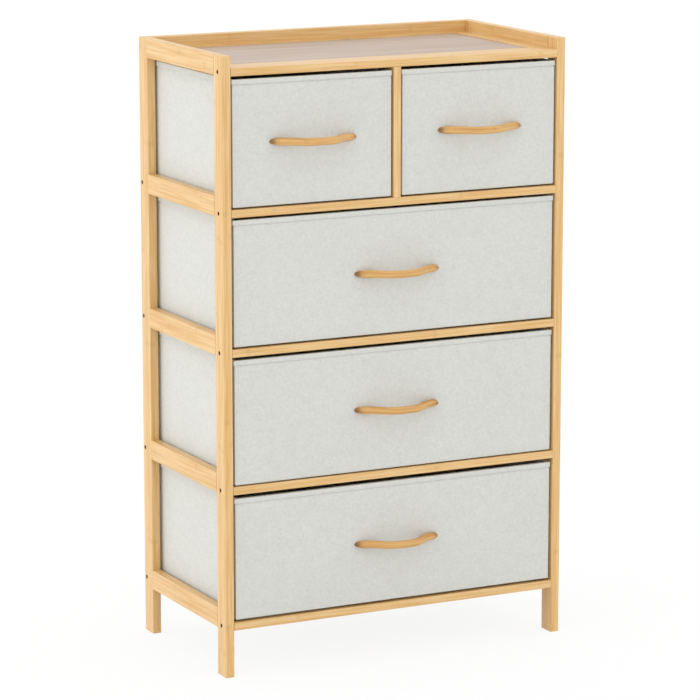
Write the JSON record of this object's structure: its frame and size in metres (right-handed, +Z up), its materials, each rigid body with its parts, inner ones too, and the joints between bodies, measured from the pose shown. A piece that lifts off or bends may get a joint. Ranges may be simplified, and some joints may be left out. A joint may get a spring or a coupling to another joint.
{
  "type": "chest of drawers",
  "caption": "Tall chest of drawers: an open light-wood frame with a shallow galleried top and pull-out stiffened fabric drawers with bow-shaped wooden handles.",
  "frame": {"origin": "on the floor, at the centre of the bounding box's underside", "axes": "+X to the right seen from the front, +Y to the back, +Z up"},
  "size_m": [0.57, 0.3338, 0.927],
  "materials": {
    "frame_wood": "satin clear lacquer",
    "handle_wood": "satin clear lacquer",
    "top_board": "matt printed grain",
    "drawer_fabric": "plain weave",
    "base_board": "covered board",
    "screw_steel": "dark zinc"
  },
  "bodies": {
    "frame": {"leg_front_left": "frame_wood", "leg_front_right": "frame_wood", "leg_rear_left": "frame_wood", "leg_rear_right": "frame_wood", "side_rail_left_1": "frame_wood", "side_rail_left_2": "frame_wood", "side_rail_left_3": "frame_wood", "side_rail_left_4": "frame_wood", "side_rail_left_5": "frame_wood", "side_rail_right_1": "frame_wood", "side_rail_right_2": "frame_wood", "side_rail_right_3": "frame_wood", "side_rail_right_4": "frame_wood", "side_rail_right_5": "frame_wood", "front_rail_1": "frame_wood", "front_rail_2": "frame_wood", "front_rail_3": "frame_wood", "front_rail_4": "frame_wood", "rear_rail_1": "frame_wood", "rear_rail_2": "frame_wood", "rear_rail_3": "frame_wood", "rear_rail_4": "frame_wood", "side_runners_1": "frame_wood", "side_runners_2": "frame_wood", "side_runners_3": "frame_wood", "side_runners_4": "frame_wood", "centre_runner_1": "frame_wood", "centre_runner_2": "frame_wood", "centre_runner_3": "frame_wood", "centre_runner_4": "frame_wood", "top_front_rail": "frame_wood", "top_strip_back": "frame_wood", "top_strip_left": "frame_wood", "top_strip_right": "frame_wood", "back_gallery_rail": "frame_wood", "centre_post": "frame_wood", "top_panel": "top_board", "frame_screws": "screw_steel"},
    "drawer_bottom": {"drawer_box_bottom": "drawer_fabric", "base_board_bottom": "base_board", "handle_bottom": "handle_wood", "handle_screws_bottom": "screw_steel"},
    "drawer_lower": {"drawer_box_lower": "drawer_fabric", "base_board_lower": "base_board", "handle_lower": "handle_wood", "handle_screws_lower": "screw_steel"},
    "drawer_upper": {"drawer_box_upper": "drawer_fabric", "base_board_upper": "base_board", "handle_upper": "handle_wood", "handle_screws_upper": "screw_steel"},
    "drawer_top_left": {"drawer_box_top_left": "drawer_fabric", "base_board_top_left": "base_board", "handle_top_left": "handle_wood", "handle_screws_top_left": "screw_steel"},
    "drawer_top_right": {"drawer_box_top_right": "drawer_fabric", "base_board_top_right": "base_board", "handle_top_right": "handle_wood", "handle_screws_top_right": "screw_steel"}
  },
  "joints": [
    {"name": "bottom_slide", "type": "slide", "parent": "frame", "child": "drawer_bottom", "axis": [0, -1, 0], "range_m": [0, 0.23]},
    {"name": "lower_slide", "type": "slide", "parent": "frame", "child": "drawer_lower", "axis": [0, -1, 0], "range_m": [0, 0.23]},
    {"name": "upper_slide", "type": "slide", "parent": "frame", "child": "drawer_upper", "axis": [0, -1, 0], "range_m": [0, 0.23]},
    {"name": "top_left_slide", "type": "slide", "parent": "frame", "child": "drawer_top_left", "axis": [0, -1, 0], "range_m": [0, 0.23]},
    {"name": "top_right_slide", "type": "slide", "parent": "frame", "child": "drawer_top_right", "axis": [0, -1, 0], "range_m": [0, 0.23]}
  ]
}
